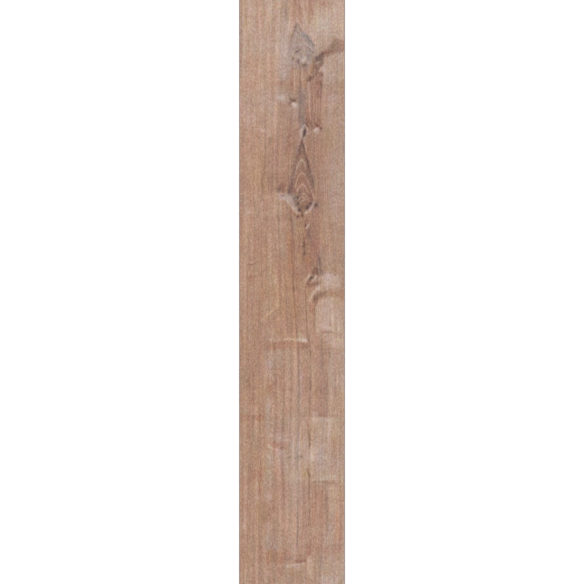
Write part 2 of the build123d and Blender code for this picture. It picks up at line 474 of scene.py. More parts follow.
def paint_main_flame(p):
    """Tall dark flame with pale growth rings inside it."""
    p.fill(SEPIA, 0.85, 5, (20, 321), (13, 300), (8, 280), (4, 262), (0, 245), (-5, 225), (-9, 206),
           (10, 202), (14, 168), (26, 164), (44, 190), (47, 210), (45, 226), (41, 240), (36, 260), (31, 280),
           (26, 300))
    p.fill(UMBER, 0.5, 4, (20, 318), (14, 302), (12, 284), (27, 284), (25, 304))
    p.fill(PEACH, 0.35, 6, (20, 246), (12, 232), (8, 214), (12, 204), (38, 204), (34, 226), (27, 242))
    p.many(p.line, SLATE, (0.42, 5.8, (16, 308), (10, 286), (6, 266), (2, 246), (-2, 226), (-6, 209)),
           (0.25, 3.0, (27, 268), (32, 252), (37, 238), (40, 226)))
    p.line(UMBER, 0.95, 1.6, (21, 316), (25, 302), (29, 287), (33, 270), (38, 252), (42, 238), (46, 217),
           fade=14)
    p.line(SEPIA, 0.3, 2.8, (29, 284), (33, 268), (38, 252), fade=12)
    p.many(p.line, SEPIA, (0.9, 2.0, (13, 203), (17, 207), (24, 209)),
           (0.8, 1.8, (14, 199), (18, 202), (24, 200)))
    p.line(CREAM, 1.05, 1.8, (4, 236), (8, 249), (11, 260), (15, 270), (20, 276), (25, 271), (28, 262),
           (30, 254))
    p.line(mix((STRAW, 0.4), (ASH, 0.5)), 1.0, 3.0, (9, 256), (11, 262), (15, 270), (20, 275),
           (25, 271), (27, 264))
    growth_rings = [
        [(6, 215), (8, 225), (11, 235), (15, 243), (21, 249), (26, 245), (34, 228), (40, 212), (47, 193)],
        [(10, 206), (12, 214), (16, 220), (22, 225), (27, 220), (31, 213), (35, 206)],
        [(20, 202), (25, 205), (29, 202), (33, 195), (36, 187)],
        [(12, 189), (16, 195), (21, 199), (26, 196), (29, 190)],
        [(15, 179), (18, 186), (23, 191), (28, 189)],
    ]
    for ring in growth_rings:
        p.line(mix((CREAM, 0.95), (PEACH, 0.45)), 1.0, 1.6, *ring)
    p.many(p.spot, UMBER, (0.25, (-6, 212), (4, 9)), (0.6, (20, 313), (2.6, 7)))
    p.many(p.spot, RUSSET, (0.7, (22, 232), (7, 9)), (0.6, (38, 200), (5, 10)))
    p.spot(ROSE, 0.15, (-1, 222), (5, 14))
    p.spot(OCHRE, 1.0, (24, 178), (5, 9))
    p.patch(HONEY, 0.25, (-12, 58), (280, 320), (8, 14))
    p.patch(ROSE, 0.7, (-4, 9), (206, 214), (5, 4))


def paint_flame_foot(p):
    """Bleached hollow at the foot of the main flame, and the dark specks round it."""
    p.fill(ASH, 0.9, 5, (-12, 206), (6, 206), (11, 196), (13, 170), (20, 162), (8, 166), (-8, 188),
           (-30, 198))
    p.fill(CREAM, 0.7, 5, (-36, 206), (-24, 207), (-12, 205), (-4, 197), (5, 184), (12, 172), (20, 165),
           (20, 160), (12, 161), (1, 169), (-9, 185), (-15, 191), (-30, 195))
    p.fill(SLATE, 0.85, 5, (-2, 203), (8, 200), (11, 182), (8, 178), (2, 190))
    p.fill(SEPIA, 0.65, 6, (-14, 230), (-15, 206), (-29, 207), (-31, 214), (-22, 230))
    p.line(STRAW, 0.6, 2.4, (-12, 192), (-2, 179), (6, 169), (16, 163))
    p.line(CREAM, 1.15, 2.6, (26, 163), (33, 167), (39, 173), (43, 180), (47, 191))
    p.line(ASH, 0.4, 3.0, (28, 164), (39, 173), (46, 188))
    p.line(SEPIA, 0.5, 3.0, (-28, 211), (-20, 226))
    p.many(p.line, RUSSET, (0.9, 2.4, (-17, 230), (-18, 216), (-19, 205)),
           (0.9, 3.4, (-4, 172), (2, 165), (8, 158)))
    for x, y in ((-2, 194), (2, 188), (6, 182)):
        p.line(CREAM, 0.5, 1.6, (x, y), (x + 6, y + 6))
    for place in ((4, 195), (9, 188), (8, 178)):
        p.spot(SEPIA, 0.8, place, (2.2, 2.2))
    p.many(p.spot, SEPIA, (1.0, (-20, 201), (5, 4)), (3.4, (21.5, 160), (2.6, 4.5)),
           (2.3, (12.5, 156.5), (2.8, 3.4)), (0.6, (-27, 213), (3, 5)))
    p.many(p.spot, UMBER, (1.0, (-7, 207), (3, 3)), (1.5, (11, 196), (2.6, 4)), (1.5, (13, 184), (2.6, 4)),
           (2.1, (16, 170), (3.4, 4)), (1.9, (32, 176), (3.6, 4.5)), (1.4, (39, 184), (3.4, 2.8)),
           (1.5, (50, 181), (4.2, 5.5)))
    p.many(p.spot, CREAM, (0.6, (-48, 199), (6, 5)), (0.6, (30, 164), (5, 3)))
    p.spot(STRAW, 0.7, (-2, 198), (7, 5), -40)
    p.spot(LILAC, 0.5, (38, 176), (5, 5))
    p.spot(HONEY, 0.8, (20, 161), (5, 5))
    p.spot(ROSE, 1.2, (33, 177), (5, 5))
    p.spot(ASH, 0.4, (50, 181), (7, 8))
    p.spot(MOSS, 0.8, (-27, 213), (3.4, 6))


def paint_beside_flame(p):
    """Marks on both sides of the main flame."""
    p.many(p.patch, ROSE, (0.35, (60, 84), (158, 202), (10, 14)), (0.3, (-38, -12), (235, 320), (12, 20)))
    p.many(p.patch, STRAW, (0.3, (-66, -34), (160, 168), (14, 4)), (0.2, (-92, -62), (238, 285), (10, 14)))
    p.patch(ASH, 0.25, (-112, -84), (158, 202), (10, 14))
    p.patch(SEPIA, 0.25, (-70, -6), (148, 159), (14, 4))
    p.patch(OCHRE, 0.6, (-86, -55), (215, 292), (14, 24))
    p.spot(LILAC, 0.5, (-88, 166), (8, 6))
    for x, y_from, y_to in ((-58, 268, 238), (-61, 250, 205), (-66, 285, 250)):
        p.streak(SEPIA, 0.45, 1.4, x, y_from, y_to)
    p.many(p.streak, ASH, (0.4, 4.0, 82, 305, 180), (0.4, 3.0, 67, 306, 280))
    p.streak(MOSS, 0.6, 2.2, -57, 275, 205)
    p.streak(RUSSET, 0.5, 1.8, -6, 330, 255)
    p.streak(PEACH, 0.45, 1.4, -2, 300, 260)


def paint_middle(p):
    """Small marks between the main flame and the paired knots."""
    p.many(p.line, SEPIA,
           (0.65, 1.8, (-3, 160), (0, 140), (0.5, 120), (0, 95), (1.5, 60), (2.5, 30), (4, 0)),
           (1.2, 1.8, (3.5, 12), (5, -15), (6.5, -40), (8, -62), (10, -100)),
           (0.85, 2.4, (26, 116), (25.5, 104), (26, 97), (26, 88), (26, 77)),
           (0.8, 2.6, (56, 74), (58, 58), (61, 40)), (0.9, 1.5, (-94, 58), (-84, 57), (-75, 62)))
    p.many(p.line, PEACH, (1.0, 1.8, (12, 69), (16, 75), (22, 79)), (0.9, 1.8, (29, 84), (36, 86), (42, 81)),
           (1.0, 1.8, (-95, 61), (-86, 61), (-78, 63)))
    p.line(CREAM, 2.4, 1.5, (29, 131.5), (36.5, 143))
    p.line(CREAM, 0.6, 1.8, (10, 102), (22, 99))
    p.line(MOSS, 0.6, 2.0, (29, 131), (36.5, 143))
    p.many(p.patch, ROSE, (0.35, (-36, -12), (40, 82), (10, 14)), (0.35, (38, 60), (60, 190), (8, 30)))
    p.many(p.patch, HONEY, (0.5, (-10, -1), (50, 150), (4, 20)), (0.3, (-12, 25), (40, 120), (14, 24)))
    p.many(p.patch, RUSSET, (0.5, (24, 32), (100, 154), (4, 14)), (0.55, (28, 52), (38, 110), (8, 24)))
    p.patch(mix((OCHRE, 0.6), (STRAW, 0.2)), 1.0, (5, 24), (104, 150), (6, 14))
    p.patch(OCHRE, 0.4, (-60, -36), (-8, 42), (10, 14))
    p.patch(SEPIA, 0.2, (-38, -12), (118, 162), (10, 14))
    p.patch(ASH, 0.4, (2, 8), (126, 160), (4, 12))
    p.patch(LILAC, 0.25, (5, 18), (54, 68), (5, 6))
    p.many(p.spot, SEPIA, (1.8, (28, 139), (2.2, 4.5)), (0.9, (25.5, 100.5), (3.4, 4.5)),
           (1.0, (23, 94.5), (2.6, 3)), (1.1, (26.5, 80), (3, 3)), (0.6, (25, 71), (5, 9)))
    p.many(p.spot, OCHRE, (0.9, (25, 90), (4, 12)), (1.0, (25, 71), (5, 9)), (0.9, (-42, 48), (2.5, 10)))
    p.spot(SLATE, 0.8, (36, 136), (2.6, 4))
    p.spot(HONEY, 1.2, (32, 66), (5, 9))
    p.spot(PEACH, 1.0, (-89, 40), (3, 4))
    p.spot(RUSSET, 1.2, (-86, 31), (9, 3.5))
    p.spot(CREAM, 0.4, (-34, 28), (3, 10))
    p.fill(SEPIA, 0.4, 6, (30, 131), (39, 132), (41, 114), (31, 109))
    p.many(p.fill, SLATE, (0.5, 5, (31, 129), (38, 129), (39, 112), (32, 110)),
           (0.65, 7, (53, 80), (58, 78), (62, 60), (65, 35), (57, 33), (54, 60)))


def paint_paired_knots(p):
    """Two knots below the middle."""
    upper_rim = [(40, 37), (44, 45), (50, 54), (55, 46), (55, 34), (48, 38)]
    p.fill(SEPIA, 0.85, 4, *upper_rim)
    p.fill(RUSSET, 0.5, 6, *upper_rim)
    p.many(p.fill, SEPIA,
           (1.0, 5, (30, 20), (36, 20), (42, 18), (52, 22), (63, 22), (58, 15), (44, 12), (36, 9), (30, 12)),
           (1.0, 6, (71, 2), (58, 0), (46, -6), (43, -15), (47, -25), (52, -26), (54, -17), (60, -12),
            (71, -8)))
    p.many(p.line, SEPIA, (0.8, 2.2, (49, 52), (53, 45), (53, 35)),
           (0.75, 1.7, (50, -22), (47, -34), (47, -46), (46, -62), (47, -86)))
    p.many(p.line, CREAM, (1.3, 3.1, (28, 20), (33, 30), (38, 37), (44, 40)),
           (1.2, 2.6, (41, 20), (47, 28), (51, 36)), (0.7, 1.8, (57, 32), (57, 14), (55, 2)),
           (0.9, 2.6, (54, 9), (49, 4), (43, -4), (38, -14), (36, -22)))
    p.line(PEACH, 0.6, 1.8, (52, 6), (47, -2))
    p.many(p.spot, SEPIA, (1.0, (43, 39), (3, 3)), (1.2, (35, 24.5), (3, 2.6)), (0.8, (34, 19), (4, 4)),
           (0.9, (49, -14), (4, 5)), (0.5, (62, -5), (6, 4)))
    p.spot(UMBER, 2.0, (40, 28.5), (6.4, 3.4), 36)
    p.spot(CREAM, 0.7, (55, 8), (7, 4.5), -30)
    p.spot(RUSSET, 0.6, (49, -13), (5, 6))
    p.many(p.patch, RUSSET, (0.6, (30, 54), (0, 20), (8, 10)), (0.45, (35, 46), (-48, -14), (4, 12)))


def paint_sapwood(p):
    """Pale sapwood on the right of the paired knots."""
    p.patch(LILAC, 0.6, (62, 90), (25, 38), (14, 7))
    p.patch(CREAM, 0.6, (62, 98), (9, 36), (14, 8))
    p.patch(OCHRE, 0.5, (66, 96), (42, 58), (14, 8))
    p.patch(ROSE, 0.45, (46, 61), (-150, -90), (5, 20))
    p.fill(CREAM, 0.5, 9, (50, -26), (60, -15), (72, -11), (130, -14), (130, -118), (80, -112), (60, -96),
           (51, -80))
    p.fill(LILAC, 0.25, 9, (51, -24), (60, -14), (80, -14), (90, -60), (52, -70))
    p.fill(mix((RUSSET, 0.4), (OCHRE, 0.6)), 1.0, 5, (68, 3), (90, 2), (112, 6), (112, -14),
           (90, -9), (72, -8))
    grain_lines = [(57, -30, -85), (68, -20, -75), (80, -30, -110), (92, -40, -115), (101, -25, -100)]
    for x, y_from, y_to in grain_lines:
        p.streak(SLATE, 0.2, 1.6, x, y_from, y_to)
        p.streak(STRAW, 0.2, 1.8, x + 5, y_from - 5, y_to)
    p.spot(OCHRE, 1.1, (96, -20), (10, 9))
    p.spot(CREAM, 0.85, (73, -75), (9, 4.5))
    p.spot(STRAW, 0.4, (98, -80), (7, 5))
    p.spot(PEACH, 0.5, (87, -106), (2, 6))
    p.streak(PEACH, 0.55, 2.2, 86, -45, -135)
    p.many(p.line, SEPIA, (1.4, 1.9, (57, -82), (64, -84.5), (72, -83), (84, -84.5)),
           (0.5, 1.8, (82, -84), (94, -87), (106, -89)), (0.4, 2.2, (61, -86), (62, -120), (63, -160)))
    p.line(LILAC, 0.5, 1.4, (57, -69), (68, -65), (80, -60))
    p.line(MOSS, 0.6, 2.8, (62, -88), (64, -120), (64, -165))
    p.line(SLATE, 0.4, 1.8, (108, -62), (106, -80))


def paint_cross_bands(p):
    """Bleached bands, saw-like lines and red stains that cross the plank below the middle."""
    p.line(CREAM, 0.6, 2.6, (-60, -98), (-30, -100), (-8, -98), (10, -99), fade=20)
    p.line(CREAM, 0.4, 2.0, (-12, -98), (0, -98), (12, -100))
    p.fill(CREAM, 1.1, 3, (8, -97), (8, -101), (18, -103.5), (31, -106), (31, -101), (22, -97))
    p.fill(mix((STRAW, 0.55), (ASH, 0.5)), 1.0, 8, (10, -100), (12, -82), (18, -84), (26, -92), (31, -101))
    p.fill(SEPIA, 0.6, 5, (14, -105), (33, -107), (36, -112), (28, -122), (18, -122))
    p.fill(RUSSET, 0.75, 6, (-47, -313), (-10, -312), (-10, -328), (-24, -329), (-38, -326))
    for x in (-47, -37, -16):
        p.streak(SEPIA, 0.35, 1.6, x, -104, -128, fade=6)
    p.line(PEACH, 1.7, 1.8, (-57, -50), (-50, -47), (-44, -43), (-40, -38), (-36, -31))
    p.line(CREAM, 1.05, 1.8, (-52, -317), (-46, -323), (-38, -327), (-27, -328.5))
    p.many(p.line, SEPIA, (1.0, 1.8, (52, -257), (62, -257.5), (74, -259)),
           (0.9, 1.9, (72, -258), (94, -257)))
    p.patch(mix((ASH, 0.5), (STRAW, 0.25)), 1.0, (-60, -20), (-156, -122), (10, 8))
    p.patch(mix((LILAC, 0.8), (PEACH, 0.4)), 1.0, (86, 100), (-256, -249), (5, 4))
    p.many(p.patch, RUSSET, (0.75, (-52, 36), (-119, -104), (8, 5)), (0.35, (86, 99), (-348, -308), (6, 12)),
           (0.8, (-106, -88), (-270, -256), (5, 5)), (0.9, (-77, -61), (-269, -256), (4, 5)))
    p.many(p.patch, STRAW, (0.3, (0, 11), (-156, -124), (4, 10)), (0.3, (38, 98), (-298, -260), (4, 10)))
    p.many(p.patch, LILAC, (0.9, (40, 54), (-256, -247), (4, 4)), (0.45, (-52, -22), (-312, -294), (8, 8)))
    p.patch(ROSE, 0.2, (-106, -61), (-270, -256), (5, 5))
    p.patch(CREAM, 0.25, (-60, -28), (-360, -332), (8, 6))
    p.patch(MOSS, 0.35, (-12, 12), (-362, -318), (10, 14))
    p.patch(ASH, 0.5, (50, 68), (-376, -325), (5, 14))
    p.many(p.spot, CREAM, (0.5, (76, -266), (14, 4)), (0.9, (46, -264), (4, 4)), (0.9, (42, -342), (6, 13)),
           (0.45, (48, -330), (4, 8)))
    p.many(p.spot, OCHRE, (1.5, (-51, -53), (4, 4)), (0.4, (52, -284), (8, 9)), (0.9, (90, -298), (7, 14)))
    p.many(p.spot, LILAC, (0.35, (72, -292), (7, 8)), (0.8, (-24, -334), (5, 5)))
    p.many(p.spot, SEPIA, (0.5, (-81, -262), (6, 6)), (0.5, (-18, -324), (7, 5)))
    p.spot(PEACH, 1.0, (-32, -27), (3, 5))
    p.spot(RUSSET, 0.9, (-18, -289), (7, 5))
    for place in ((-7, -345), (11, -345), (19, -342)):
        p.spot(UMBER, 0.8, place, (3.4, 2.8))
        p.spot(MOSS, 0.8, place, (4, 3))


def paint_near_bands(p):
    """Pale bands, dark lines and red stains that cross the plank towards the near end."""
    p.many(p.line, SEPIA, (1.1, 1.6, (40, -395), (56, -395.5), (72, -396), (91, -399)),
           (1.1, 2.6, (4, -561), (18, -562), (31, -560)))
    p.many(p.line, RUSSET, (0.8, 3.0, (4, -560), (18, -561), (31, -559)),
           (1.2, 1.7, (57, -586), (68, -585), (82, -586)))
    p.line(CREAM, 0.95, 2.8, (-15, -573), (0, -570), (14, -566), (27, -563))
    p.line(PEACH, 0.4, 2.4, (-54, -569), (-14, -570), fade=12)
    p.many(p.patch, CREAM, (0.45, (62, 94), (-392, -382), (8, 5)), (0.3, (60, 100), (-620, -589), (8, 5)))
    p.many(p.patch, RUSSET, (0.6, (-93, -60), (-396, -370), (6, 8)), (0.55, (-55, 0), (-564, -540), (8, 5)),
           (0.4, (64, 104), (-546, -532), (8, 5)))
    p.patch(PEACH, 0.3, (-96, -58), (-410, -399), (8, 4))
    p.patch(OCHRE, 0.5, (-55, -26), (-567, -538), (6, 5))
    for x in (-50, -31, -20):
        p.streak(RUSSET, 0.6, 2.0, x, -542, -566, fade=6)
    p.spot(SEPIA, 0.7, (70, -395), (5, 2.6))
    p.spot(CREAM, 0.7, (45, -391), (4, 2.6))
    p.spot(MOSS, 0.7, (-40, -557), (3, 7))
    p.spot(SLATE, 1.0, (-6, -556), (4.5, 5))
    p.spot(LILAC, 0.7, (15, -574), (5, 7))
    p.fill(SEPIA, 0.4, 5, (5, -548), (30, -546), (30, -562), (5, -563))
    p.fill(STRAW, 0.85, 7, (33, -550), (40, -548), (45, -570), (43, -598), (37, -598), (32, -575))


def paint_near_grain(p):
    """Local streaks and lines along the grain of the near half."""
    p.many(p.streak, SEPIA, (0.35, 2.4, -103, -430, -560), (0.5, 2.2, 61, -188, -215),
           (0.4, 2.4, 73.5, -165, -235), (0.4, 2.4, 72, -398, -505), (0.65, 2.4, 61, -500, -575),
           (0.25, 3.0, 100, -300, -345))
    p.many(p.streak, RUSSET, (0.5, 2.2, -36, -178, -222), (0.5, 3.6, 29, -150, -255),
           (0.5, 2.2, 60, -412, -475), (0.65, 2.6, 101.5, -475, -540))
    p.many(p.streak, ROSE, (0.6, 2.4, -2, -160, -210), (0.5, 3.0, 22, -150, -240),
           (0.35, 3.0, -19, -365, -440), (0.45, 4.0, -67, -515, -600))
    p.many(p.streak, PEACH, (0.4, 2.6, -10, -165, -255), (0.5, 1.6, 33, -25, -70),
           (0.9, 2.0, 94.5, -170, -194))
    p.many(p.streak, SLATE, (0.4, 2.0, 12, -165, -250), (0.3, 3.0, 62, -500, -565))
    p.many(p.streak, MOSS, (0.4, 3.0, 73, -155, -240), (0.6, 3.0, 73, -398, -505))
    p.streak(ASH, 0.25, 4.0, 13, -290, -400)
    p.streak(HONEY, 0.8, 4.0, 95, -455, -520)
    p.line(SEPIA, 0.6, 2.4, (-17, -155), (-15.5, -190), (-17, -220), (-19, -260), (-19, -292), fade=12)
    p.line(SEPIA, 1.0, 1.6, (37, -176), (38.5, -190), (38, -207), fade=8)
    p.line(SEPIA, 0.8, 1.7, (36, -218), (37, -232), (36.5, -262), fade=8)
    p.line(SEPIA, 1.45, 2.0, (34, -278), (34.5, -292), (36.5, -308), (38, -328), fade=12)
    p.line(SEPIA, 1.5, 2.8, (32, -366), (34, -376), (38, -389))
    p.line(SEPIA, 0.9, 1.6, (37, -386), (35.5, -412), (34.5, -438), fade=8)
    p.line(SEPIA, 0.9, 1.6, (37, -448), (36, -466), (34.5, -490), fade=8)
    p.many(p.line, RUSSET, (1.1, 2.8, (31, -262), (32, -272), (34, -284)),
           (1.1, 2.8, (35, -525), (33, -538), (36, -550)))
    p.line(OCHRE, 0.7, 2.6, (34, -284), (35, -296), (37, -314))
    p.line(SLATE, 0.45, 1.8, (10.5, -420), (11, -470), (11, -515), (10, -535), fade=14)


def paint_near_stains(p):
    """Local spots and patches of the near half."""
    p.many(p.patch, RUSSET, (0.5, (-89, -75), (-236, -212), (6, 10)),
           (0.35, (40, 70), (-490, -402), (5, 14)))
    p.many(p.patch, OCHRE, (0.5, (-72, -50), (-218, -182), (8, 8)), (0.4, (40, 56), (-225, -165), (5, 16)),
           (0.5, (92, 108), (-250, -205), (6, 14)), (0.45, (80, 96), (-345, -300), (8, 14)),
           (0.5, (-60, -40), (-374, -360), (8, 6)), (0.5, (-77, -49), (-480, -436), (8, 10)),
           (0.4, (-84, -78), (-430, -405), (4, 10)))
    p.many(p.patch, ROSE, (0.35, (18, 34), (-545, -392), (6, 16)), (0.45, (52, 77), (-254, -170), (6, 16)),
           (0.35, (40, 60), (-545, -500), (6, 14)))
    p.many(p.patch, SEPIA, (0.2, (40, 76), (-255, -195), (5, 20)), (0.2, (40, 74), (-480, -402), (5, 20)),
           (0.15, (-70, -38), (-480, -440), (8, 8)))
    p.many(p.patch, ASH, (0.4, (-55, -36), (-300, -242), (8, 14)), (0.25, (60, 86), (-520, -480), (10, 14)),
           (0.4, (-56, -36), (-412, -340), (8, 14)))
    p.patch(mix((ASH, 0.45), (LILAC, 0.25)), 1.0, (-58, -32), (-536, -505), (12, 10))
    p.patch(MOSS, 0.3, (-112, -86), (-202, -158), (10, 14))
    p.patch(STRAW, 0.25, (76, 98), (-462, -402), (5, 10))
    p.many(p.spot, LILAC, (0.7, (-50, -160), (9, 11)), (0.75, (-47, -233), (6, 11)),
           (0.7, (-47, -429), (8, 11)), (0.65, (-50, -489), (8, 9)))
    p.many(p.spot, STRAW, (0.35, (-50, -175), (10, 6)), (0.5, (-83, -246), (7, 9)),
           (0.4, (-98, -489), (7, 6)))
    p.many(p.spot, RUSSET, (0.8, (98, -197), (4, 4)), (0.8, (-67, -412), (5, 8)),
           (0.7, (-47, -460), (3, 11)), (0.7, (-97, -446), (8, 7)))
    p.many(p.spot, OCHRE, (1.1, (31, -377), (8, 10)), (0.9, (0, -586), (11, 8)))
    p.spot(mix((RUSSET, 1.2), (ROSE, 0.4)), 1.0, (-45, -199), (7, 10))


def wood_print(xs, ys):
    """The whole print, laid from the broad shading to the fine marks."""
    p = WoodPrint(xs, ys)
    for paint in (
        paint_ground,
        paint_grain_lines,
        paint_far_end,
        paint_upper_flame,
        paint_branch,
        paint_red_field,
        paint_upper_knots,
        paint_main_flame,
        paint_flame_foot,
        paint_beside_flame,
        paint_middle,
        paint_paired_knots,
        paint_sapwood,
        paint_cross_bands,
        paint_near_bands,
        paint_near_grain,
        paint_near_stains,
    ):
        paint(p)
    return p


def grid_lines(count, half, places):
    """Ends of that many squares between -half and half, spread by the places' shares."""
    shares, lines = zip(*places)
    return half * np.interp(np.linspace(0, 1, count + 1), shares, lines)


def face_relief(p):
    """How far each grid point lies below the face: dark grain is pressed in, and the rim stays level."""
    to_rim = np.minimum(WIDTH / 2 - BEVEL_WIDTH - abs(p.x), LENGTH / 2 - BEVEL_WIDTH - abs(p.y))
    pressed = smooth(EMBOSS_AT_ZERO - EMBOSS_PER_TONE * p.tone)
    return EMBOSS_DEPTH * pressed * smooth(to_rim / EMBOSS_MARGIN)


def rim_loop():
    """Grid indices round the edge of the face, anticlockwise from the near left corner."""
    step = COLUMNS + 1
    near = list(range(COLUMNS))
    right = [j * step + COLUMNS for j in range(ROWS)]
    far = [ROWS * step + i for i in range(COLUMNS, 0, -1)]
    left = [j * step for j in range(ROWS, 0, -1)]
    return near + right + far + left


def plank_faces(rim):
    """Quads of the face, the bevel and the edge, and the strips that close the back, each as a list."""
    step = COLUMNS + 1
    around = len(rim)
    shoulder = step * (ROWS + 1)
    base = shoulder + around
    face = []
    for j in range(ROWS):
        for i in range(COLUMNS):
            corner = j * step + i
            face.append((corner, corner + 1, corner + 1 + step, corner + step))
    bevel = []
    edge = []
    for k in range(around):
        n = (k + 1) % around
        bevel.append((shoulder + k, shoulder + n, rim[n], rim[k]))
        edge.append((base + k, base + n, shoulder + n, shoulder + k))

    def right(j):
        return base + COLUMNS + j

    def left(j):
        return base + (2 * COLUMNS + 2 * ROWS - j) % around

    near_row = [base + i for i in range(COLUMNS, 0, -1)]
    far_row = [base + 2 * COLUMNS + ROWS - i for i in range(COLUMNS + 1)]
    back = [(left(1), right(1), *near_row, base)]
    back += [(left(j), left(j + 1), right(j + 1), right(j)) for j in range(1, ROWS - 1)]
    back.append((right(ROWS - 1), left(ROWS - 1), *far_row))
    return face, bevel, edge, back


def unwrap(mesh, groups):
    """UV map for baking: the printed face fills most of it, with the back and the sides beside that."""
    margin = 0.004
    face_strip = (margin, 0.860)
    back_strip = (0.868, 0.928)
    first_side, side_pitch, side_width = 0.936, 0.0076, 0.0056
    layer = mesh.uv_layers.new(name="OFBake")
    corners = np.empty(len(mesh.loops), dtype=np.int32)
    mesh.loops.foreach_get("vertex_index", corners)
    places = np.empty(len(mesh.vertices) * 3)
    mesh.vertices.foreach_get("co", places)
    x, y, z = (places.reshape(-1, 3)[corners] / MM).T
    u = x / WIDTH + 0.5
    v = y / LENGTH + 0.5
    height = np.clip(z / THICKNESS, 0, 1)

    face, bevel, edge, back = (sum(len(f) for f in group) for group in groups)
    sides = np.repeat(range(4), [4 * COLUMNS, 4 * ROWS, 4 * COLUMNS, 4 * ROWS])
    side_of = np.concatenate([np.zeros(face, int), sides, sides + 4, np.zeros(back, int)])
    group_of = np.repeat(range(4), [face, bevel, edge, back])
    on_side = (group_of == 1) | (group_of == 2)
    across = np.where(on_side, height, u)
    along = np.where(on_side & (side_of % 2 == 0), u, v)
    low = np.where(group_of == 0, face_strip[0], back_strip[0])
    low = np.where(on_side, first_side + side_pitch * side_of, low)
    width = np.where(group_of == 0, face_strip[1] - face_strip[0], back_strip[1] - back_strip[0])
    width = np.where(on_side, side_width, width)
    spread = np.stack([low + across * width, margin + (1 - 2 * margin) * along], 1)
    layer.data.foreach_set("uv", spread.ravel())


def add_attribute(mesh, name, kind, values):
    """Stores one value or vector at each vertex under that name."""
    field = "vector" if kind == "FLOAT_VECTOR" else "value"
    mesh.attributes.new(name, kind, "POINT").data.foreach_set(field, values.astype(np.float32).ravel())


def make_plank(materials):
    """The plank as one closed mesh, with the print's tone, warmth, pink and grain stored at its vertices."""
    half_width = WIDTH / 2 - BEVEL_WIDTH
    half_length = LENGTH / 2 - BEVEL_WIDTH
    xs = grid_lines(COLUMNS, half_width, COLUMN_PLACES)
    ys = grid_lines(ROWS, half_length, ROW_PLACES)
    p = wood_print(xs, ys)
    rim = rim_loop()

    top = np.stack([p.x, p.y, THICKNESS - face_relief(p)], 2).reshape(-1, 3)
    spread = np.array([WIDTH / 2 / half_width, LENGTH / 2 / half_length, 1.0])
    shoulder = top[rim] * spread
    shoulder[:, 2] = THICKNESS - BEVEL_DROP
    base = shoulder * (1, 1, 0)
    points = np.concatenate([top, shoulder, base])

    groups = plank_faces(rim)
    mesh = bpy.data.meshes.new("plank_print")
    mesh.from_pydata((points * MM).tolist(), [], [f for group in groups for f in group])
    indices = np.repeat(range(len(groups)), [len(group) for group in groups])
    mesh.polygons.foreach_set("material_index", indices.astype(np.int32))
    for material in materials:
        mesh.materials.append(material)

    def with_rim(values):
        flat = values.ravel()
        return np.concatenate([flat, flat[rim], flat[rim]])

    for name in ("tone", "warmth", "pink"):
        add_attribute(mesh, name, "FLOAT", with_rim(getattr(p, name)))
    grain = np.stack([with_rim(p.grain), points[:, 1], points[:, 2]], 1)
    add_attribute(mesh, "grain", "FLOAT_VECTOR", grain)
    unwrap(mesh, groups)
    mesh.shade_smooth()
    mesh.set_sharp_from_angle(angle=SHARP_ANGLE)
    mesh.validate()

    plank = bpy.data.objects.new("printed_plank", mesh)
    bpy.context.scene.collection.objects.link(plank)
    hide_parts("plank")
    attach(plank, "root")


def linear(srgb):
    """Linear colour with alpha from sRGB levels of 0 to 255."""
    levels = [level / 255 for level in srgb]
    return (*[v / 12.92 if v < 0.04045 else ((v + 0.055) / 1.055) ** 2.4 for v in levels], 1.0)


